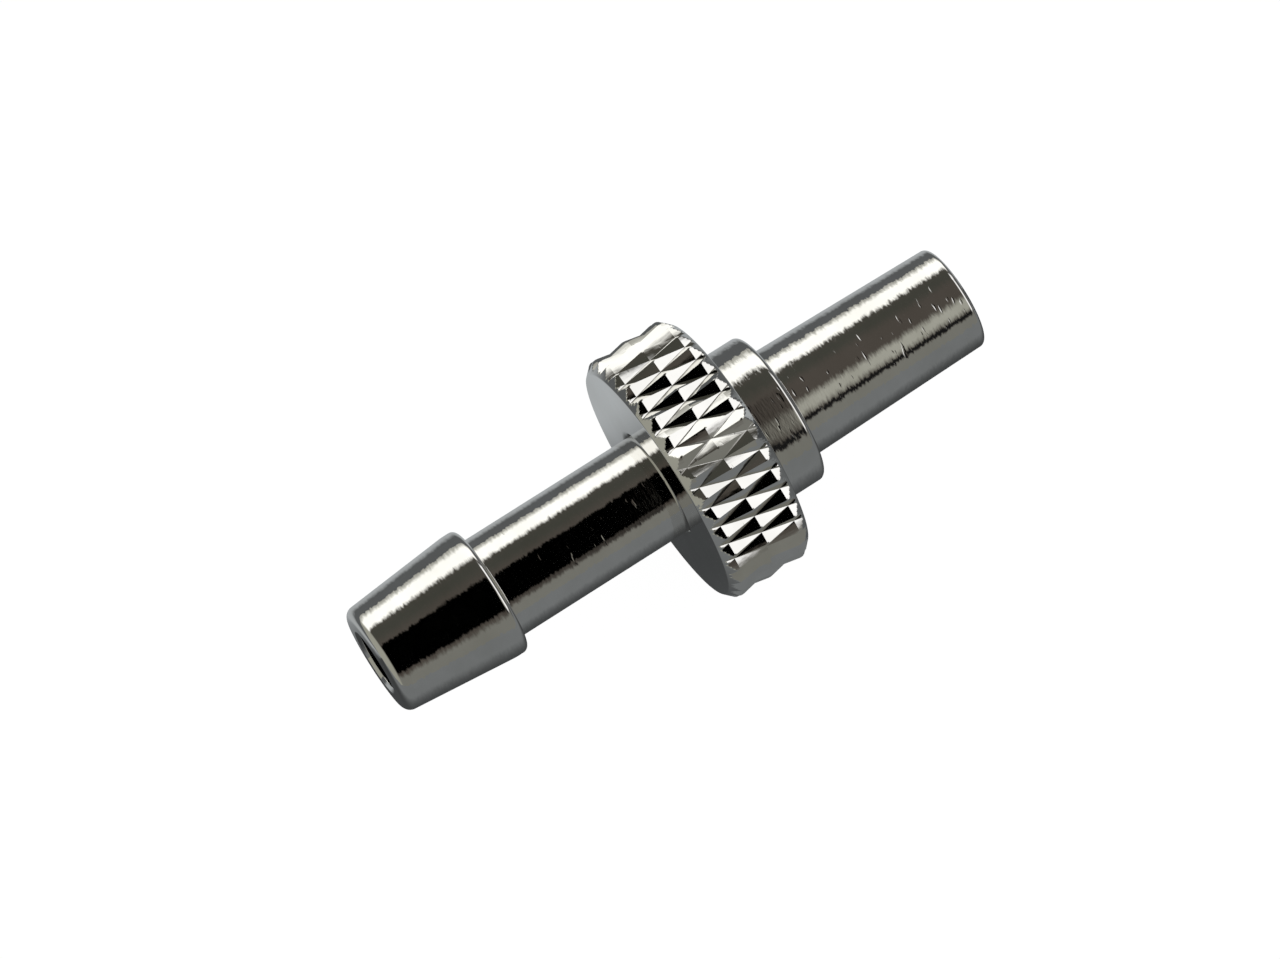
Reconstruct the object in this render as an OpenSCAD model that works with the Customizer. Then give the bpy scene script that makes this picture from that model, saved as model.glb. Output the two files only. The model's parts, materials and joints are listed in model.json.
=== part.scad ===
// Swivel hose-tail connector: a barbed tail turns in a tapered nose and a knurled union nut holds them.
// The common axis lies along X. X = 0 is the stop face of the collar, the nose points to +X, the barb to -X.

/* [Overall] */
// Diameter of the fluid passage through the tail and the nose
bore_d = 2.4; // [1.8:0.1:2.6]
// Chamfer at the mouths of the fluid passage
mouth_chamfer = 0.12; // [0.05:0.01:0.2]

/* [Hose tail] */
// Diameter of the plain shank, which is also the journal inside the nose
shank_d = 4.0; // [3.8:0.05:4.4]
// Length of shank that shows between the barb and the nut
shank_len = 7.1; // [4:0.1:12]
// How far the barb's shoulder stands out from the shank
barb_rise = 0.525; // [0.4:0.025:0.9]
// How far the barb's tip stands out from the shank
tip_rise = 0.15; // [0:0.05:0.3]
// Length of the barb from its tip to its shoulder
barb_len = 4.95; // [3:0.05:7]
// Rounding of the barb's tip
tip_round = 0.45; // [0.1:0.05:0.55]
// Rounding of the barb's shoulder
shoulder_round = 0.35; // [0.1:0.05:0.4]

/* [Nose] */
// How far the collar stands out from the thread
collar_rise = 0.25; // [0.2:0.05:0.8]
// Length of the collar
collar_len = 1.9; // [1.7:0.1:4]
// Rounding of the collar's front rim
collar_round = 0.22; // [0.05:0.01:0.35]
// Diameter of the tapered nose where it leaves the collar
nose_base_d = 4.35; // [4:0.05:5]
// Diameter of the tapered nose at its end
nose_tip_d = 4.08; // [3.7:0.02:4.3]
// Length of the tapered nose
nose_len = 7.65; // [4:0.05:12]
// Rounding of the nose's end
nose_round = 0.2; // [0.05:0.01:0.35]
// Left between the floor of the nose's bearing bore and the stop face
floor_wall = 0.5; // [0.3:0.05:1.2]

/* [Union nut] */
// Diameter over the knurl
nut_d = 10; // [9:0.1:14]
// Width of the nut
nut_w = 3.45; // [3.2:0.05:6]
// Chamfer of the nut's two rims
nut_chamfer = 0.35; // [0.1:0.05:0.5]
// Thickness of the wall that the shank passes through
nut_wall = 0.8; // [0.5:0.05:1]
// Number of knurl grooves of each hand round the nut
knurl_count = 36; // [24:2:44]
// Depth of the knurl grooves
knurl_depth = 0.26; // [0.1:0.02:0.4]
// Angle of the knurl grooves from the axis
knurl_angle = 19; // [15:1:40]
// How much shallower the grooves of the second hand are
knurl_step = 0.04; // [0.02:0.01:0.08]
// Half the width of a knurl groove over its depth
knurl_flank = 1.2; // [0.8:0.05:1.4]

/* [Thread] */
// Wall between the bearing bore and the bottom of the thread relief
spigot_wall = 0.4; // [0.3:0.05:0.6]
// Depth of the thread relief beside the collar
relief_depth = 0.3; // [0.1:0.05:0.3]
// Width of the thread relief beside the collar
relief_w = 0.3; // [0.2:0.05:0.6]

/* [Retaining ring and washers] */
// Thickness of the split ring
ring_t = 0.35; // [0.25:0.05:0.5]
// Depth of the ring's groove in the tail
ring_groove_depth = 0.35; // [0.2:0.05:0.45]
// Opening of the split ring, in degrees
ring_gap_angle = 50; // [30:5:90]
// Thickness of each slip washer
washer_t = 0.25; // [0.15:0.05:0.4]
// Width of the bearing face of the ring and the washers beyond the shank
land_w = 0.42; // [0.3:0.02:0.5]

/* [Seal] */
// Diameter of the seal's section before it is squeezed
seal_d = 0.6; // [0.5:0.05:0.7]
// Depth of the seal's gland in the tail
gland_depth = 0.45; // [0.35:0.05:0.5]
// Extra width of the gland beyond the seal
gland_play = 0.2; // [0.1:0.05:0.3]
// Length of journal left beyond the gland
journal_lip = 0.5; // [0.3:0.05:1]

/* [Clearances] */
// Radial clearance of the journal in the nose
bearing_clear = 0.05; // [0.02:0.01:0.1]
// Radial clearance of the shank through the nut and the washers
shank_clear = 0.06; // [0.02:0.01:0.1]
// Radial clearance of the thread, drawn as two plain cylinders
thread_clear = 0.05; // [0.02:0.01:0.1]
// Axial play at each face of the ring and the washers
face_play = 0.03; // [0.01:0.01:0.06]
// Gap between the end of the tail and the floor of its bearing
end_gap = 0.2; // [0.1:0.05:0.5]
// Clearance of the seal at the floor of its gland and in the nose
seal_clear = 0.01; // [0.01:0.01:0.03]
// Clearance of the split ring in its groove
ring_clear = 0.02; // [0.01:0.01:0.05]

/* [Hidden] */
$fn = 96;
EDGE = 0.1;      // small chamfers on inner edges
OVER = 0.5;      // how far a cutting shape runs past what it cuts
nickel = [0.80, 0.79, 0.76];
steel = [0.42, 0.43, 0.45];
plastic = [0.92, 0.92, 0.89];
rubber = [0.08, 0.08, 0.09];

// Places along the axis, from the stop face towards the barb
collar_back_x = -collar_len;
nut_face_x = collar_back_x - nut_w;
nut_floor_x = nut_face_x + nut_wall;
nut_washer_x = nut_floor_x + face_play;
ring_x = nut_washer_x + washer_t + face_play;
nose_washer_x = ring_x + ring_t + face_play;
nose_end_x = nose_washer_x + washer_t + face_play;
shoulder_x = nut_face_x - shank_len;
tip_x = shoulder_x - barb_len;
bearing_floor_x = -floor_wall;
tail_end_x = bearing_floor_x - end_gap;
gland_w = seal_d + gland_play;
gland_x = tail_end_x - journal_lip - gland_w;
seal_x = gland_x + gland_w / 2;

KNURL_RUN = 2 * nut_w;      // length of a knurl groove's cut, past both rims

// Radii
bore_r = bore_d / 2;
shank_r = shank_d / 2;
bearing_r = shank_r + bearing_clear;
thread_r = bearing_r + spigot_wall + relief_depth;
collar_r = thread_r + collar_rise;
barb_r = shank_r + barb_rise;
barb_tip_r = shank_r + tip_rise;
nose_base_r = nose_base_d / 2;
nose_tip_r = nose_tip_d / 2;
nut_r = nut_d / 2;
nut_bore_r = thread_r + thread_clear;
hole_r = shank_r + shank_clear;
land_r = shank_r + land_w;
ring_floor_r = shank_r - ring_groove_depth;
gland_floor_r = shank_r - gland_depth;

// Turns an outline of [radius, place along the axis] points about the X axis
module turned() {
    rotate([0, 90, 0]) rotate_extrude() children();
}

// A plain ring between two places along the axis
module band(inner_r, outer_r, from_x, to_x) {
    translate([inner_r, from_x]) square([outer_r - inner_r, to_x - from_x]);
}

// A disc outline for a cut that opens a hole and breaks its edge at one end, on the side that way points to
module mouth_cut(r, x, way, size) {
    polygon([[0, x + way * OVER], [r + size + OVER, x + way * OVER], [r, x - way * size], [0, x - way * size]]);
}

module tail_outline() {
    difference() {
        union() {
            polygon([
                [0, tip_x],
                [barb_tip_r - tip_round, tip_x],
                [barb_tip_r, tip_x + tip_round],
                [barb_r, shoulder_x - shoulder_round],
                [barb_r - shoulder_round, shoulder_x],
                [shank_r, shoulder_x],
                [shank_r, tail_end_x - EDGE],
                [shank_r - EDGE, tail_end_x],
                [0, tail_end_x]
            ]);
            translate([barb_tip_r - tip_round, tip_x + tip_round]) circle(r = tip_round);
            translate([barb_r - shoulder_round, shoulder_x - shoulder_round]) circle(r = shoulder_round);
        }
        band(ring_floor_r, land_r, ring_x - ring_clear, ring_x + ring_t + ring_clear);
        band(gland_floor_r, land_r, gland_x, gland_x + gland_w);
    }
}

module hose_tail() {
    color(nickel) difference() {
        turned() tail_outline();
        turned() band(0, bore_r, tip_x - OVER, tail_end_x + OVER);
        turned() mouth_cut(bore_r, tip_x, -1, mouth_chamfer);
    }
}

module nose_outline() {
    polygon([
        [0, nose_end_x],
        [thread_r - EDGE, nose_end_x],
        [thread_r, nose_end_x + EDGE],
        [thread_r, collar_back_x - relief_w],
        [thread_r - relief_depth, collar_back_x - relief_w],
        [thread_r - relief_depth, collar_back_x],
        [collar_r, collar_back_x],
        [collar_r, -collar_round],
        [collar_r - collar_round, 0],
        [nose_base_r, 0],
        [nose_tip_r, nose_len - nose_round],
        [nose_tip_r - nose_round, nose_len],
        [0, nose_len]
    ]);
    translate([collar_r - collar_round, -collar_round]) circle(r = collar_round);
    translate([nose_tip_r - nose_round, nose_len - nose_round]) circle(r = nose_round);
}

module nose_body() {
    color(nickel) difference() {
        turned() nose_outline();
        turned() band(0, bore_r, nose_end_x - OVER, nose_len + OVER);
        turned() mouth_cut(bore_r, nose_len, 1, mouth_chamfer);
        turned() band(0, bearing_r, nose_end_x - OVER, bearing_floor_x);
        turned() mouth_cut(bearing_r, nose_end_x, -1, EDGE);
    }
}

module nut_outline() {
    polygon([
        [hole_r, nut_face_x],
        [nut_r - nut_chamfer, nut_face_x],
        [nut_r, nut_face_x + nut_chamfer],
        [nut_r, collar_back_x - nut_chamfer],
        [nut_r - nut_chamfer, collar_back_x],
        [nut_bore_r, collar_back_x],
        [nut_bore_r, nut_floor_x],
        [hole_r, nut_floor_x]
    ]);
}

// A straight V-groove across the middle of the knurl, leaning from the axis by the given angle
module knurl_groove(lean, depth) {
    top_half_w = 2 * depth * knurl_flank;
    translate([(nut_face_x + collar_back_x) / 2, 0, nut_r])
        rotate([0, 0, lean]) rotate([90, 0, 90])
            linear_extrude(height = KNURL_RUN, center = true)
                polygon([[0, -depth], [top_half_w, depth], [-top_half_w, depth]]);
}

// The knurl's grooves of one hand, spaced evenly round the nut
module knurl_grooves(lean, depth) {
    for (i = [0 : knurl_count - 1]) rotate([i * 360 / knurl_count, 0, 0]) knurl_groove(lean, depth);
}

// The second hand is cut after the first and a little shallower, so no two valleys meet in a point
module union_nut() {
    color(nickel) difference() {
        difference() {
            turned() nut_outline();
            knurl_grooves(knurl_angle, knurl_depth);
        }
        knurl_grooves(-knurl_angle, knurl_depth - knurl_step);
    }
}

module retaining_ring() {
    color(steel) rotate([0, 90, 0]) rotate([0, 0, ring_gap_angle / 2])
        rotate_extrude(angle = 360 - ring_gap_angle)
            band(ring_floor_r + ring_clear, land_r, ring_x, ring_x + ring_t);
}

module slip_washer(x) {
    color(plastic) turned() band(hole_r, land_r, x, x + washer_t);
}

module nut_washer() {
    slip_washer(nut_washer_x);
}

module nose_washer() {
    slip_washer(nose_washer_x);
}

module o_ring() {
    color(rubber) turned() intersection() {
        translate([(gland_floor_r + bearing_r) / 2, seal_x]) circle(d = seal_d);
        band(gland_floor_r + seal_clear, bearing_r - seal_clear, gland_x, gland_x + gland_w);
    }
}

nose_body();
union_nut();
hose_tail();
retaining_ring();
nut_washer();
nose_washer();
o_ring();
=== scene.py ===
"""Looks of the swivel hose-tail connector: mirror-bright nickel turnings, a knurled union nut and the
small parts inside them, worked out as surfaces on grids round the common X axis."""
import json
import math

import bpy
import numpy as np
from mathutils import Matrix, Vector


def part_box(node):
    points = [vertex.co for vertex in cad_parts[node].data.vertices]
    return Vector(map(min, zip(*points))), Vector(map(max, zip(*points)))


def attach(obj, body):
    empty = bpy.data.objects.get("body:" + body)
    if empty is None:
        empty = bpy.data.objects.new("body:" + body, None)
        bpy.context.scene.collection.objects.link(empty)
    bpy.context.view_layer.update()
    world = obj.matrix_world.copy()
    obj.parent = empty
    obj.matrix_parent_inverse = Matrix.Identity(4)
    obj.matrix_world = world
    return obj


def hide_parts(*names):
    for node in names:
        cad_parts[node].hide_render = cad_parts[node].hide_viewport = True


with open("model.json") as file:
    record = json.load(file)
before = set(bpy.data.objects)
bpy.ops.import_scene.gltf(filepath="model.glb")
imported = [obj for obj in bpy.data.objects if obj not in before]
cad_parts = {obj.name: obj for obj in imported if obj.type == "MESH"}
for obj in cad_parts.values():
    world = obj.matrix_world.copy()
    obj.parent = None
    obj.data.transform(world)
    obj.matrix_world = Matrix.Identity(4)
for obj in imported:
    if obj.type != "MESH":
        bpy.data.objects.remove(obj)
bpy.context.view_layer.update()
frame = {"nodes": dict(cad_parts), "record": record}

scene = bpy.context.scene
MM = 0.001

# ---------------------------------------------------------------- sizes, in millimetres
box = {name: [np.array(corner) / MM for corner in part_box(name)] for name in frame["nodes"]}
mounts = {mount["name"]: mount for mount in frame["record"]["mounts"]}
BORE_R = mounts["through_bore"]["dims"]["r_mm"]
TIP_X, TAIL_END_X = box["hose_tail"][0][0], box["hose_tail"][1][0]
BARB_R = box["hose_tail"][1][2]
NOSE_END_X, NOSE_TIP_X = box["nose_body"][0][0], box["nose_body"][1][0]
COLLAR_R = box["nose_body"][1][2]
NUT_FACE_X, NUT_FRONT_X = box["union_nut"][0][0], box["union_nut"][1][0]
NUT_R = box["union_nut"][1][2]
RING_X, RING_FAR_X = box["retaining_ring"][0][0], box["retaining_ring"][1][0]
LAND_R = box["retaining_ring"][1][1]

SHANK_R = 2.0
SHOULDER_X = TIP_X + 4.95
TIP_R = 2.15
TIP_ROUND, SHOULDER_ROUND = 0.45, 0.26
MOUTH = 0.12            # chamfer at the mouths of the passage
EDGE = 0.1              # chamfers on inner edges
RING_FLOOR_R = 1.65
GLAND_FLOOR_R = 1.55
GLAND_X, GLAND_W = -2.0, 0.8
COLLAR_ROUND = 0.22
NOSE_BASE_R, NOSE_TIP_R, NOSE_ROUND = 2.175, 2.04, 0.2
BEARING_R, BEARING_FLOOR_X = 2.05, -0.5
THREAD_R, THREAD_DEPTH, PITCH = 2.75, 0.2, 0.5
RELIEF_R, RELIEF_W = 2.45, 0.3
HOLE_R, NUT_WALL, NUT_BORE_R = 2.06, 0.8, 2.8
NUT_HOLE_R = 2.02       # drawn a little closer to the shank
NUT_CHAMFER = 0.35
KNURLS, KNURL_ANGLE = 36, math.radians(19)
KNURL_DEPTH, KNURL_FLANK = 0.24, 1.66
SEAL_X, SEAL_R = -1.6, 0.3
BREAK = 0.03            # the small rounding that breaks a turned edge


# ---------------------------------------------------------------- surfaces
def rounded_outline(corners, arc_step=6.0):
    """A closed outline of [place along the axis, radius] points. Each corner (x, r, fillet) of a polygon
    becomes the circular arc of radius fillet that touches both of its sides: the arc's centre lies on the
    corner's bisector, at fillet / sin(half the corner's angle). Two more points beside each arc keep the
    straight sides' shading straight."""
    here = np.array([c[:2] for c in corners], float)
    before, after = np.roll(here, 1, 0), np.roll(here, -1, 0)
    parts = []
    for p, a, b, fillet in zip(here, before, after, [c[2] for c in corners]):
        da, db = (a - p) / np.linalg.norm(a - p), (b - p) / np.linalg.norm(b - p)
        half = math.acos(np.clip(da @ db, -1, 1)) / 2
        if fillet <= 0 or half > math.radians(89.5):
            parts.append(p[None])
            continue
        reach = min(fillet / math.tan(half), 0.45 * min(np.linalg.norm(a - p), np.linalg.norm(b - p)))
        radius = reach * math.tan(half)
        middle = p + (da + db) / np.linalg.norm(da + db) * radius / math.sin(half)
        first, last = p + da * reach - middle, p + db * reach - middle
        turn = math.atan2(first[0] * last[1] - first[1] * last[0], first @ last)
        steps = max(3, int(math.degrees(abs(turn)) / arc_step) + 1)
        angle = np.linspace(0, turn, steps + 1)[:, None]
        arc = middle + first * np.cos(angle) + np.array([-first[1], first[0]]) * np.sin(angle)
        guard = 0.25 * min(radius, 0.1)
        parts.append(np.vstack([arc[0] + da * guard, arc, arc[-1] + db * guard]))
    return np.vstack(parts)


def turned_points(outline, columns):
    """Points of a surface of revolution: row p, column c is (x, r sin t, r cos t) with t = 2 pi c / columns."""
    t = 2 * math.pi * np.arange(columns) / columns
    x, r = outline[:, 0, None], outline[:, 1, None]
    return np.stack([x + 0 * t, r * np.sin(t), r * np.cos(t)], -1)


def loop_faces(rows, columns, first=0, close_rows=True):
    """Four-sided faces between neighbouring rows and columns of a grid that closes round the axis, and
    along the outline too if close_rows."""
    p = np.arange(rows if close_rows else rows - 1)[:, None]
    c = np.arange(columns)[None]
    q, d = (p + 1) % rows, (c + 1) % columns
    faces = np.stack([p * columns + c, q * columns + c, q * columns + d, p * columns + d], -1)
    return first + faces.reshape(-1, 4)


def piece(name, points, faces, material, body, node, slot, sharp=35.0):
    """A mesh in metres at the origin that rides on a body and stands for one CAD node."""
    mesh = bpy.data.meshes.new(name)
    rows = faces.tolist() if hasattr(faces, "tolist") else faces
    mesh.from_pydata((points.reshape(-1, 3) * MM).tolist(), [], rows)
    mesh.shade_smooth()
    mesh.set_sharp_from_angle(angle=math.radians(sharp))
    mesh.materials.append(material)
    obj = bpy.data.objects.new(name, mesh)
    scene.collection.objects.link(obj)
    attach(obj, body)
    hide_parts(node)
    return obj


def between(x, low, high, ramp):
    """1 between two places along the axis, falling smoothly to 0 over ramp at each end."""
    t = np.clip(np.minimum(x - low, high - x) / ramp, 0, 1)
    return t * t * (3 - 2 * t)


def threaded(points, low, high, depth, inward):
    """Cuts a right-hand thread into the rows that lie between low and high: the radius changes by
    depth (1 - cos(2 pi (x / pitch + t / 2 pi))) / 2, where t is the angle round the axis."""
    x, y, z = np.moveaxis(points, -1, 0)
    r, t = np.hypot(y, z), np.arctan2(y, z)
    wave = 0.5 - 0.5 * np.cos(2 * np.pi * x / PITCH + t)
    wave = wave * wave * (3 - 2 * wave)
    r = r + inward * depth * wave * between(x, low, high, PITCH / 2)
    return np.stack([x, r * np.sin(t), r * np.cos(t)], -1)


def with_rows(outline, low, high, radius, step):
    """Adds evenly spaced points to the straight side of an outline that runs at one radius from low to high."""
    x = np.arange(min(low, high) + step, max(low, high) - step / 2, step)
    ends = [i for i in range(len(outline))
            if abs(outline[i, 1] - radius) < 1e-6 and abs(outline[(i + 1) % len(outline), 1] - radius) < 1e-6
            and abs(outline[(i + 1) % len(outline), 0] - outline[i, 0]) > 4 * step]
    i = ends[0]
    a, b = outline[i, 0], outline[(i + 1) % len(outline), 0]
    x = x[(x > min(a, b) + step / 2) & (x < max(a, b) - step / 2)]
    if b < a:
        x = x[::-1]
    return np.vstack([outline[:i + 1], np.column_stack([x, np.full(len(x), radius)]), outline[i + 1:]])


# ---------------------------------------------------------------- materials
def nodes_of(owner):
    owner.use_nodes = True
    tree = owner.node_tree
    tree.nodes.clear()
    return tree


def add(tree, kind, *links, **values):
    """Adds a shader node, joins (output, input name or number) pairs to it and sets its properties."""
    node = tree.nodes.new(kind)
    for key, value in values.items():
        setattr(node, key, value)
    for output, socket in links:
        tree.links.new(output, node.inputs[socket])
    return node


def math_node(tree, operation, a, b=0.0, c=0.0):
    node = tree.nodes.new("ShaderNodeMath")
    node.operation = operation
    for i, value in enumerate((a, b, c)):
        if hasattr(value, "links"):
            tree.links.new(value, node.inputs[i])
        else:
            node.inputs[i].default_value = value
    return node.outputs[0]


def stretched_noise(tree, scale, detail=2.0, rough=0.5, seed=0.0):
    """Noise on Object coordinates, scale given per millimetre along (x, y, z)."""
    place = add(tree, "ShaderNodeTexCoord")
    mapping = add(tree, "ShaderNodeMapping", (place.outputs["Object"], 0))
    mapping.inputs["Location"].default_value = (seed, seed * 0.7, seed * 1.3)
    mapping.inputs["Scale"].default_value = tuple(s / MM for s in scale)
    noise = add(tree, "ShaderNodeTexNoise", (mapping.outputs[0], 0))
    noise.inputs["Scale"].default_value = 1.0
    noise.inputs["Detail"].default_value = detail
    noise.inputs["Roughness"].default_value = rough
    return noise.outputs["Fac"]


def nickel(name, wander=0.08, marks=0.7, seed=0.0, tool=(9, 2.2, 2.2), worn=0.70):
    """Bright nickel plate over turned brass: the normal wanders round the axis in short marks left by the
    tool, which frays the edges of reflections, over a very fine turned grain and a few short nicks. A lower
    worn gives more nicks."""
    material = bpy.data.materials.new(name)
    tree = nodes_of(material)
    geometry = add(tree, "ShaderNodeNewGeometry")
    axis = add(tree, "ShaderNodeVectorMath", (geometry.outputs["Normal"], 1), operation="CROSS_PRODUCT")
    axis.inputs[0].default_value = (1, 0, 0)
    rings = stretched_noise(tree, tool, 3.0, 0.65, seed)
    broad = stretched_noise(tree, (0.9, 0.5, 0.5), 1.0, 0.5, seed + 3)
    lean = math_node(tree, "MULTIPLY", math_node(tree, "SUBTRACT", rings, 0.5), 2 * wander)
    lean = math_node(tree, "ADD", lean, math_node(tree, "MULTIPLY", math_node(tree, "SUBTRACT", broad, 0.5), 0.02))
    push = add(tree, "ShaderNodeVectorMath", (axis.outputs[0], 0), operation="SCALE")
    tree.links.new(lean, push.inputs["Scale"])
    leaned = add(tree, "ShaderNodeVectorMath", (geometry.outputs["Normal"], 0), (push.outputs[0], 1), operation="ADD")
    unit = add(tree, "ShaderNodeVectorMath", (leaned.outputs[0], 0), operation="NORMALIZE")
    grain = stretched_noise(tree, (13, 3.0, 3.0), 2.0, 0.6, seed + 7)
    nick = stretched_noise(tree, (5.5, 1.6, 1.6), 1.0, 0.5, seed + 11)
    nick = math_node(tree, "MULTIPLY", math_node(tree, "MAXIMUM", math_node(tree, "SUBTRACT", nick, worn), 0.0), 10.0)
    height = math_node(tree, "SUBTRACT", math_node(tree, "MULTIPLY", grain, 0.2), nick)
    bump = add(tree, "ShaderNodeBump", (height, "Height"), (unit.outputs[0], "Normal"))
    bump.inputs["Strength"].default_value = marks
    bump.inputs["Distance"].default_value = 0.003 * MM
    tint = stretched_noise(tree, (0.6, 0.4, 0.4), 3.0, 0.6, seed + 17)
    colour = add(tree, "ShaderNodeValToRGB", (tint, 0))
    colour.color_ramp.elements[0].position, colour.color_ramp.elements[0].color = 0.3, (0.76, 0.75, 0.72, 1)
    colour.color_ramp.elements[1].position, colour.color_ramp.elements[1].color = 0.7, (0.86, 0.85, 0.83, 1)
    haze = add(tree, "ShaderNodeMapRange", (stretched_noise(tree, (1.6, 0.7, 0.7), 3.0, 0.6, seed + 23), 0))
    haze.inputs["From Min"].default_value, haze.inputs["From Max"].default_value = 0.3, 0.7
    haze.inputs["To Min"].default_value, haze.inputs["To Max"].default_value = 0.015, 0.035
    shader = add(tree, "ShaderNodeBsdfPrincipled", (colour.outputs[0], "Base Color"), (haze.outputs[0], "Roughness"),
                 (bump.outputs[0], "Normal"))
    shader.inputs["Metallic"].default_value = 1.0
    add(tree, "ShaderNodeOutputMaterial", (shader.outputs[0], 0))
    return material


def plain_finish(name, colours, roughness, metallic, grain, seed, bump_size, spread=0.08):
    """A finish whose colour drifts between two tones, with a grain given per millimetre in its roughness and bump."""
    material = bpy.data.materials.new(name)
    tree = nodes_of(material)
    tone = stretched_noise(tree, tuple(g * 0.2 for g in grain), 3.0, 0.6, seed)
    colour = add(tree, "ShaderNodeValToRGB", (tone, 0))
    for element, position, value in zip(colour.color_ramp.elements, (0.3, 0.7), colours):
        element.position, element.color = position, (*value, 1)
    fine = stretched_noise(tree, grain, 3.0, 0.6, seed + 5)
    rough = add(tree, "ShaderNodeMapRange", (fine, 0))
    rough.inputs["From Min"].default_value, rough.inputs["From Max"].default_value = 0.3, 0.7
    rough.inputs["To Min"].default_value, rough.inputs["To Max"].default_value = roughness - spread, roughness + spread
    bump = add(tree, "ShaderNodeBump", (fine, "Height"))
    bump.inputs["Strength"].default_value = 0.4
    bump.inputs["Distance"].default_value = bump_size * MM
    shader = add(tree, "ShaderNodeBsdfPrincipled", (colour.outputs[0], "Base Color"), (rough.outputs[0], "Roughness"),
                 (bump.outputs[0], "Normal"))
    shader.inputs["Metallic"].default_value = metallic
    add(tree, "ShaderNodeOutputMaterial", (shader.outputs[0], 0))
    return material


turned_nickel = nickel("turned_nickel", seed=1.0)
nose_nickel = nickel("nose_nickel", wander=0.10, marks=1.0, seed=31.0, worn=0.65)
knurl_nickel = nickel("knurl_nickel", wander=0.045, marks=0.5, seed=61.0, tool=(1.4, 9, 9))
ring_steel = plain_finish("ring_steel", ((0.36, 0.37, 0.39), (0.46, 0.47, 0.49)), 0.34, 1.0, (4, 14, 14), 3.0, 0.004)
washer_acetal = plain_finish("washer_acetal", ((0.84, 0.84, 0.80), (0.93, 0.93, 0.90)), 0.45, 0.0, (9, 9, 9), 9.0, 0.003)
seal_rubber = plain_finish("seal_rubber", ((0.018, 0.018, 0.021), (0.032, 0.032, 0.036)), 0.5, 0.0, (11, 11, 11), 15.0, 0.004)

# ---------------------------------------------------------------- the hose tail
LAND = 0.55             # short straight land at the barb's largest diameter
cone = (BARB_R - TIP_R) / (SHOULDER_X - LAND - TIP_X - TIP_ROUND)
TAIL = [
    (TIP_X, BORE_R + MOUTH, BREAK),
    (TIP_X, TIP_R - cone * TIP_ROUND, TIP_ROUND),
    (SHOULDER_X - LAND, BARB_R, 1.8), (SHOULDER_X, BARB_R, SHOULDER_ROUND),
    (SHOULDER_X, SHANK_R, 0.05),
    (RING_X - 0.02, SHANK_R, BREAK), (RING_X - 0.02, RING_FLOOR_R, BREAK),
    (RING_FAR_X + 0.02, RING_FLOOR_R, BREAK), (RING_FAR_X + 0.02, SHANK_R, BREAK),
    (GLAND_X, SHANK_R, 0.05), (GLAND_X, GLAND_FLOOR_R, 0.06),
    (GLAND_X + GLAND_W, GLAND_FLOOR_R, 0.06), (GLAND_X + GLAND_W, SHANK_R, 0.05),
    (TAIL_END_X - EDGE, SHANK_R, BREAK), (TAIL_END_X, SHANK_R - EDGE, BREAK),
    (TAIL_END_X, BORE_R, 0.05),
    (TIP_X + MOUTH, BORE_R, BREAK),
]
tail_rows = turned_points(rounded_outline(TAIL), 256)
piece("turned_tail", tail_rows, loop_faces(*tail_rows.shape[:2]), turned_nickel, "tail", "hose_tail", "nickel")

# ---------------------------------------------------------------- the nose with its collar and thread
NOSE = [
    (NOSE_END_X, BEARING_R + EDGE, BREAK),
    (NOSE_END_X, THREAD_R - EDGE, BREAK), (NOSE_END_X + EDGE, THREAD_R, BREAK),
    (NUT_FRONT_X - RELIEF_W, THREAD_R, BREAK), (NUT_FRONT_X - RELIEF_W, RELIEF_R, BREAK),
    (NUT_FRONT_X, RELIEF_R, BREAK), (NUT_FRONT_X, COLLAR_R, 0.06),
    (0, COLLAR_R, COLLAR_ROUND), (0, NOSE_BASE_R, 0.05),
    (NOSE_TIP_X, NOSE_TIP_R, NOSE_ROUND),
    (NOSE_TIP_X, BORE_R + MOUTH, BREAK), (NOSE_TIP_X - MOUTH, BORE_R, BREAK),
    (BEARING_FLOOR_X, BORE_R, BREAK), (BEARING_FLOOR_X, BEARING_R, 0.06),
    (NOSE_END_X + EDGE, BEARING_R, BREAK),
]
thread_from, thread_to = NOSE_END_X + EDGE, NUT_FRONT_X - RELIEF_W
nose_outline = with_rows(rounded_outline(NOSE), thread_from, thread_to, THREAD_R, PITCH / 16)
plain_nose = turned_points(nose_outline, 256)
nose_rows = threaded(plain_nose, thread_from, thread_to, THREAD_DEPTH, -1)
off_thread = nose_outline[:, 1] < THREAD_R - 1e-6
nose_rows[off_thread] = plain_nose[off_thread]
piece("turned_nose", nose_rows, loop_faces(*nose_rows.shape[:2]), nose_nickel, "nose", "nose_body", "nickel")


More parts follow.
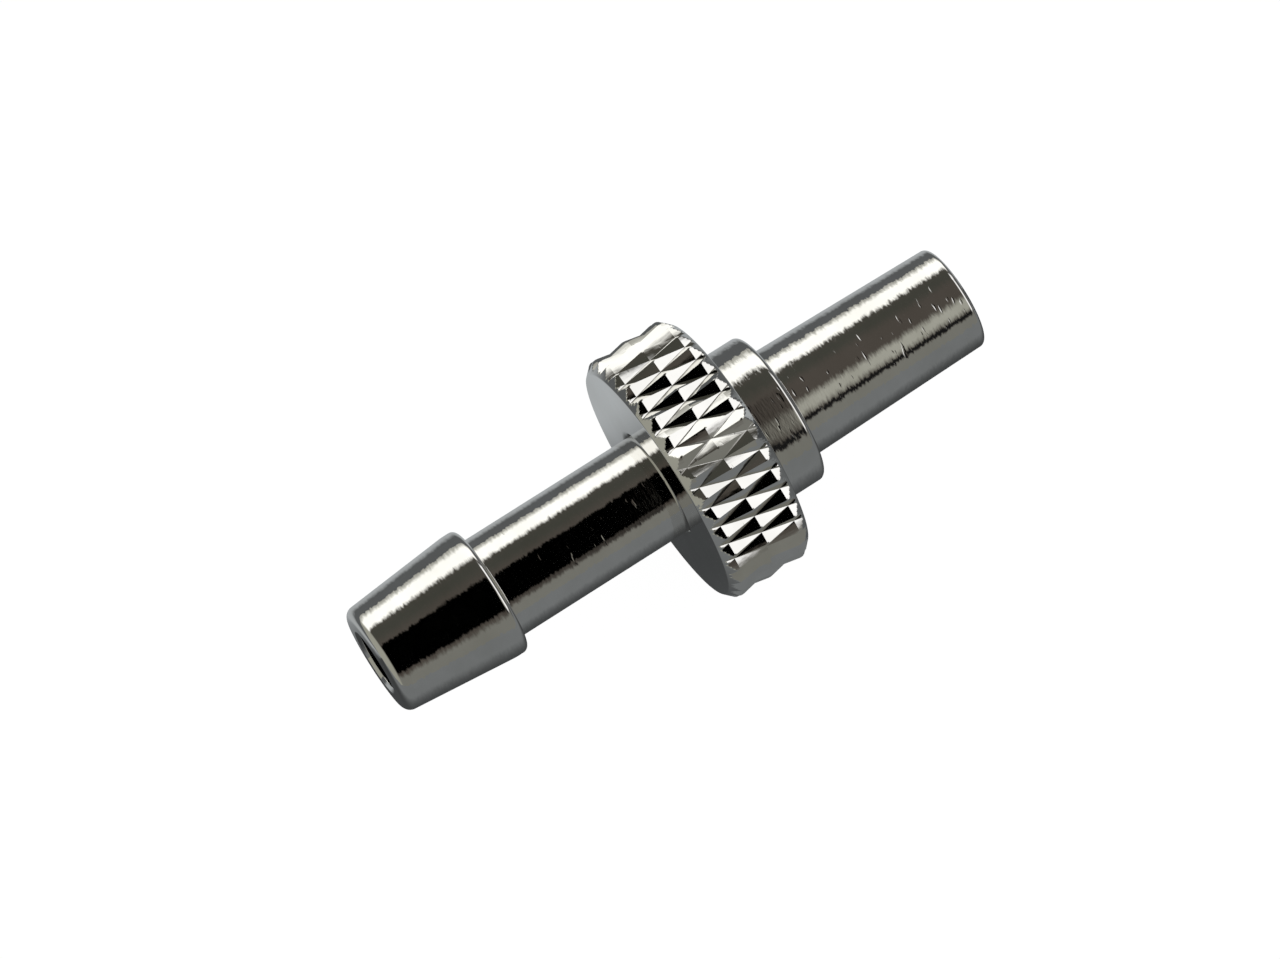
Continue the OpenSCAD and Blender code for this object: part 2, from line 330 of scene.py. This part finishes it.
# ---------------------------------------------------------------- the knurled union nut
def knurled_nut():
    """The outside is a grid whose diagonals follow both hands of the knurl: columns a sixteenth of half a
    pitch apart round the rim, rows that far apart divided by tan(angle) along the axis. The radius is the
    rim's, less the deeper of the two V grooves there, and never more than the rim's chamfers:
    r = min(R - max(v1, v2), R - chamfer rise), with v = depth - distance from the groove / flank."""
    fine = 16
    columns = 2 * fine * KNURLS
    pitch = 2 * math.pi * NUT_R / KNURLS
    step = pitch / (2 * fine) / math.tan(KNURL_ANGLE)
    middle, half = (NUT_FACE_X + NUT_FRONT_X) / 2, (NUT_FRONT_X - NUT_FACE_X) / 2
    count = int((half - 0.02) / step)
    u = step * np.arange(-count, count + 1)
    t = 2 * math.pi * np.arange(columns) / columns

    def radius(u, t):
        arc = NUT_R * t
        deep = 0
        for hand in (1, -1):
            off = (arc + hand * u * math.tan(KNURL_ANGLE)) / pitch
            away = np.abs(off - np.round(off)) * pitch * math.cos(KNURL_ANGLE)
            deep = np.maximum(deep, KNURL_DEPTH - away / KNURL_FLANK)
        chamfer = np.maximum(0, np.abs(u) - (half - NUT_CHAMFER))
        return np.minimum(NUT_R - deep, NUT_R - chamfer)

    r = radius(u[:, None], t[None])
    rim = np.stack([middle + u[:, None] + 0 * r, r * np.sin(t), r * np.cos(t)], -1)
    face_r = NUT_R - NUT_CHAMFER
    last = face_r + half - count * step
    left = rounded_outline([(NUT_FACE_X, 4.0, 0), (NUT_FACE_X, face_r, 0.07), (middle - count * step, last, 0)], 15)[1:-1]
    right = left[::-1] * [-1, 1] + [2 * middle, 0]
    outer = np.concatenate([turned_points(left, columns), rim, turned_points(right, columns)])

    few = columns // 4
    inner = rounded_outline([
        (NUT_FRONT_X, 3.6, 0), (NUT_FRONT_X, NUT_BORE_R + 0.15, BREAK), (NUT_FRONT_X - 0.15, NUT_BORE_R, BREAK),
        (NUT_FACE_X + NUT_WALL, NUT_BORE_R, 0.05), (NUT_FACE_X + NUT_WALL, NUT_HOLE_R, BREAK),
        (NUT_FACE_X, NUT_HOLE_R, 0.25), (NUT_FACE_X, 3.6, 0)])
    cut_from, cut_to = NUT_FACE_X + NUT_WALL + 0.15, NUT_FRONT_X - 0.15
    inner = with_rows(inner, cut_from, cut_to, NUT_BORE_R, PITCH / 16)
    plain = turned_points(inner, few)
    cut = threaded(plain, cut_from, cut_to, THREAD_DEPTH, 1)
    on_thread = np.abs(inner[:, 1] - NUT_BORE_R) < 1e-6
    inside = np.where(on_thread[:, None, None], cut, plain)

    rows, inner_rows = len(outer), len(inside)
    first = rows * columns
    quads = loop_faces(rows, columns, 0, False)
    corner = outer.reshape(-1, 3)
    is_rim = np.zeros((rows - 1, columns), bool)
    is_rim[len(left):len(left) + len(u) - 1] = True
    uc, tc = (u[:-1] + u[1:]) / 2, t + math.pi / columns
    true = radius(uc[:, None], tc[None]).ravel()
    on_rim = quads[is_rim.ravel()]
    reach = np.hypot(corner[:, 1], corner[:, 2])
    one = np.abs((reach[on_rim[:, 0]] + reach[on_rim[:, 2]]) / 2 - true)
    other = np.abs((reach[on_rim[:, 1]] + reach[on_rim[:, 3]]) / 2 - true)
    pick = (one <= other)[:, None]
    halves = np.where(pick, on_rim[:, [0, 1, 2, 0, 2, 3]], on_rim[:, [0, 1, 3, 1, 2, 3]]).reshape(-1, 3)
    smooth = quads[~is_rim.ravel()]
    inner_quads = loop_faces(inner_rows, few, first, False)

    def strip(wide_row, narrow_row, flip):
        """Seven-sided flat faces that join four columns of one ring to one column of the other."""
        c = np.arange(few)
        wide = [wide_row + (4 * c + k) % columns for k in range(5)]
        narrow = [narrow_row + (c + 1) % few, narrow_row + c]
        face = np.stack(wide + narrow, -1)
        return face[:, ::-1] if flip else face

    front = strip((rows - 1) * columns, first, True)
    back = strip(0, first + (inner_rows - 1) * few, False)
    faces = smooth.tolist() + halves.tolist() + inner_quads.tolist() + front.tolist() + back.tolist()
    return np.concatenate([corner, inside.reshape(-1, 3)]), faces


nut_points, nut_faces = knurled_nut()
piece("knurled_nut", nut_points, nut_faces, knurl_nickel, "nut", "union_nut", "nickel", sharp=16.0)

# ---------------------------------------------------------------- the parts inside
GAP = math.radians(50)


def split_ring():
    """A square-section ring swept through all but the gap at the bottom, its two ends closed flat."""
    inner, outer, edge = RING_FLOOR_R + 0.02, LAND_R, 0.04
    outline = rounded_outline([(RING_X, inner, edge), (RING_X, outer, edge), (RING_FAR_X, outer, edge), (RING_FAR_X, inner, edge)])
    columns = 180
    t = np.linspace(-math.pi + GAP / 2, math.pi - GAP / 2, columns)
    x, r = outline[:, 0, None], outline[:, 1, None]
    points = np.stack([x + 0 * t, r * np.sin(t), r * np.cos(t)], -1)
    rows = len(outline)
    quads = loop_faces(rows, columns)
    quads = quads.reshape(rows, columns, 4)[:, :-1].reshape(-1, 4)
    ends = [[p * columns for p in range(rows)][::-1], [p * columns + columns - 1 for p in range(rows)]]
    return points, quads.tolist() + ends


def slip_washer(node):
    """A flat ring with softly rounded edges, between its CAD box's faces."""
    low, high = box[node]
    edge = 0.05
    outline = rounded_outline([(low[0], HOLE_R, edge), (low[0], high[1], edge), (high[0], high[1], edge), (high[0], HOLE_R, edge)])
    points = turned_points(outline, 180)
    return points, loop_faces(*points.shape[:2])


def seal_ring():
    """A round section flattened where it is squeezed between its gland and the bearing: half the width is
    the section's radius, and the radius from the axis is held between the two walls."""
    a = np.linspace(0, 2 * math.pi, 48, endpoint=False)
    low, high = GLAND_FLOOR_R + 0.01, BEARING_R - 0.01
    r = np.clip((low + high) / 2 + SEAL_R * np.sin(a), low, high)
    outline = np.column_stack([SEAL_X - SEAL_R * np.cos(a), r])
    points = turned_points(outline, 180)
    return points, loop_faces(*points.shape[:2])


piece("split_ring", *split_ring(), ring_steel, "tail", "retaining_ring", "spring_steel")
piece("nut_slip_washer", *slip_washer("nut_washer"), washer_acetal, "nut_follower", "nut_washer", "slip_plastic")
piece("nose_slip_washer", *slip_washer("nose_washer"), washer_acetal, "tail", "nose_washer", "slip_plastic")
piece("seal_ring", *seal_ring(), seal_rubber, "tail", "o_ring", "seal_rubber", sharp=60.0)

# ---------------------------------------------------------------- the studio
# The cards and walls of a light tent round the part, back to front: (degrees from straight up towards +Y: from,
# to, soft edge), (lean along the axis: from, to, soft edge), tone.
CARDS = {
    "lower_wall": ((-150, -66, 6), (-2, 2, 0.1), (0.2, 0.2, 0.18)),
    "ceiling_edge": ((18, 46, 12), (-2, 2, 0.1), (0.06, 0.06, 0.05)),
    "black_card": ((-57, 8, 3), (-0.42, 0.18, 0.02), (0.0, 0.0, 0.0)),
    "side_card": ((-52, -26, 9), (0.20, 0.34, 0.04), (0.4, 0.4, 0.35)),
    "card_gap": ((-66, -57, 3), (0.15, 0.34, 0.04), (0.01, 0.01, 0.01)),
    "window_glow": ((56, 92, 12), (-2, 2, 0.1), (0.6, 0.6, 0.55)),
    "window": ((50, 80, 6), (-2, 2, 0.1), (1.3, 1.3, 1.25)),
    "end_wall": ((-64, 36, 6), (0.38, 2, 0.08), (1.2, 1.2, 1.2)),
    "end_trim": ((-300, 300, 1), (0.68, 2, 0.08), (0.1, 0.1, 0.1)),
    "near_wall": ((-300, 300, 1), (-2, -0.5, 0.12), (0.35, 0.35, 0.3)),
}
CEILING = (0.08, 0.07, 0.06)


def inside_range(tree, value, low, high, soft):
    """1 where the value lies between low and high, with smooth edges soft wide on either side of each."""
    masks = []
    for edge, first, last in ((low, 0.0, 1.0), (high, 1.0, 0.0)):
        step = add(tree, "ShaderNodeMapRange", (value, 0), interpolation_type="SMOOTHSTEP")
        for name, number in (("From Min", edge - soft), ("From Max", edge + soft), ("To Min", first), ("To Max", last)):
            step.inputs[name].default_value = number
        masks.append(step.outputs[0])
    return math_node(tree, "MULTIPLY", *masks)


def studio_world():
    """Camera and diffuse rays meet an even white, mirror rays meet the cards of the light tent."""
    world = bpy.data.worlds.new("studio")
    scene.world = world
    tree = nodes_of(world)
    place = add(tree, "ShaderNodeTexCoord")
    part = add(tree, "ShaderNodeSeparateXYZ", (place.outputs["Generated"], 0))
    angle = math_node(tree, "DEGREES", math_node(tree, "ARCTAN2", part.outputs["Y"], part.outputs["Z"]))
    colour = None
    for around, along, tone in CARDS.values():
        share = math_node(tree, "MULTIPLY", inside_range(tree, angle, *around),
                          inside_range(tree, part.outputs["X"], *along))
        mix = add(tree, "ShaderNodeMix", (share, 0), data_type="RGBA")
        if colour is None:
            mix.inputs[6].default_value = (*CEILING, 1)
        else:
            tree.links.new(colour, mix.inputs[6])
        mix.inputs[7].default_value = (*tone, 1)
        colour = mix.outputs[2]
    path = add(tree, "ShaderNodeLightPath")
    pick = add(tree, "ShaderNodeMix", (path.outputs["Is Glossy Ray"], 0), (colour, 7), data_type="RGBA")
    pick.inputs[6].default_value = (1, 1, 1, 1)
    background = add(tree, "ShaderNodeBackground", (pick.outputs[2], 0))
    add(tree, "ShaderNodeOutputWorld", (background.outputs[0], 0))


def studio_floor():
    """A wide plain pale floor that the nut's rim rests on. Mirror rays see a painted emission on it: painted shade,
    darkest under the part, with a painted pool of light beside it on the window's side."""
    size, low = 1000.0, -NUT_R
    points = np.array([[-size, -size, low], [size, -size, low], [size, size, low], [-size, size, low]])
    mesh = bpy.data.meshes.new("floor")
    mesh.from_pydata((points * MM).tolist(), [], [[0, 1, 2, 3]])
    floor = bpy.data.objects.new("floor", mesh)
    scene.collection.objects.link(floor)
    material = bpy.data.materials.new("pale_floor")
    tree = nodes_of(material)
    place = add(tree, "ShaderNodeTexCoord")
    part = add(tree, "ShaderNodeSeparateXYZ", (place.outputs["Object"], 0))
    # painted shade and painted light for mirror rays: emission strength set by Y, 0.06 under the part, a little lighter
    # far out on -Y, a painted pool of light from +5 to +7 mm on the window's side fading beyond +16 mm
    painted_light_level = 0.06
    for near, far, gain in ((-2, -12, 0.14), (1, 5, 0.4), (7, 16, -0.34)):
        side = add(tree, "ShaderNodeMapRange", (part.outputs["Y"], 0), interpolation_type="SMOOTHSTEP")
        side.inputs["From Min"].default_value, side.inputs["From Max"].default_value = near * MM, far * MM
        side.inputs["To Max"].default_value = gain
        painted_light_level = math_node(tree, "ADD", side.outputs[0], painted_light_level)
    # painted shade and painted light: a bluish emission that only mirror rays see
    painted_shade_and_light = add(tree, "ShaderNodeEmission", (painted_light_level, "Strength"))
    painted_shade_and_light.inputs["Color"].default_value = (0.92, 0.97, 1.0, 1)
    matt = add(tree, "ShaderNodeBsdfDiffuse")
    matt.inputs["Color"].default_value = (0.9, 0.9, 0.9, 1)
    even = add(tree, "ShaderNodeEmission")
    even.inputs["Strength"].default_value = 1.03
    pale = add(tree, "ShaderNodeMixShader", (even.outputs[0], 1), (matt.outputs[0], 2))
    pale.inputs[0].default_value = 0.06
    path = add(tree, "ShaderNodeLightPath")
    mix = add(tree, "ShaderNodeMixShader", (path.outputs["Is Glossy Ray"], 0), (pale.outputs[0], 1), (painted_shade_and_light.outputs[0], 2))
    add(tree, "ShaderNodeOutputMaterial", (mix.outputs[0], 0))
    mesh.materials.append(material)


def studio_camera():
    """A long lens, looking down on the part from its barb end and a little from its -Y side."""
    ahead, roll = math.radians(9.3), math.radians(32.3)
    distance, offset = 195.3, (5.063, 2.629)
    right_x, up_x = math.cos(ahead) * math.cos(roll), math.cos(ahead) * math.sin(roll)
    right_y = -math.sqrt(1 - right_x ** 2)
    up_y = -right_x * up_x / right_y
    right = np.array([right_x, right_y, 0])
    up = np.array([up_x, up_y, math.sqrt(1 - up_x ** 2 - up_y ** 2)])
    back = np.cross(right, up)
    place = distance * back - offset[0] * right - offset[1] * up
    lens = bpy.data.cameras.new("camera")
    lens.lens = 151.9
    lens.clip_start, lens.clip_end = 0.005, 10
    camera = bpy.data.objects.new("camera", lens)
    scene.collection.objects.link(camera)
    camera.matrix_world = Matrix([[right[i], up[i], back[i], place[i] * MM] for i in range(3)] + [[0, 0, 0, 1]])
    scene.camera = camera


def studio_light():
    """One wide soft light from the window's side, for the parts that aren't mirrors."""
    light = bpy.data.lights.new("window_light", "AREA")
    light.energy, light.size = 0.12, 0.5
    lamp = bpy.data.objects.new("window_light", light)
    lamp.location = (0.0, 0.35, 0.35)
    lamp.rotation_euler = (math.radians(-45), 0, 0)
    lamp.visible_glossy = False
    lamp.visible_camera = False
    scene.collection.objects.link(lamp)


studio_world()
studio_floor()
studio_camera()
studio_light()
scene.view_settings.view_transform = "Standard"
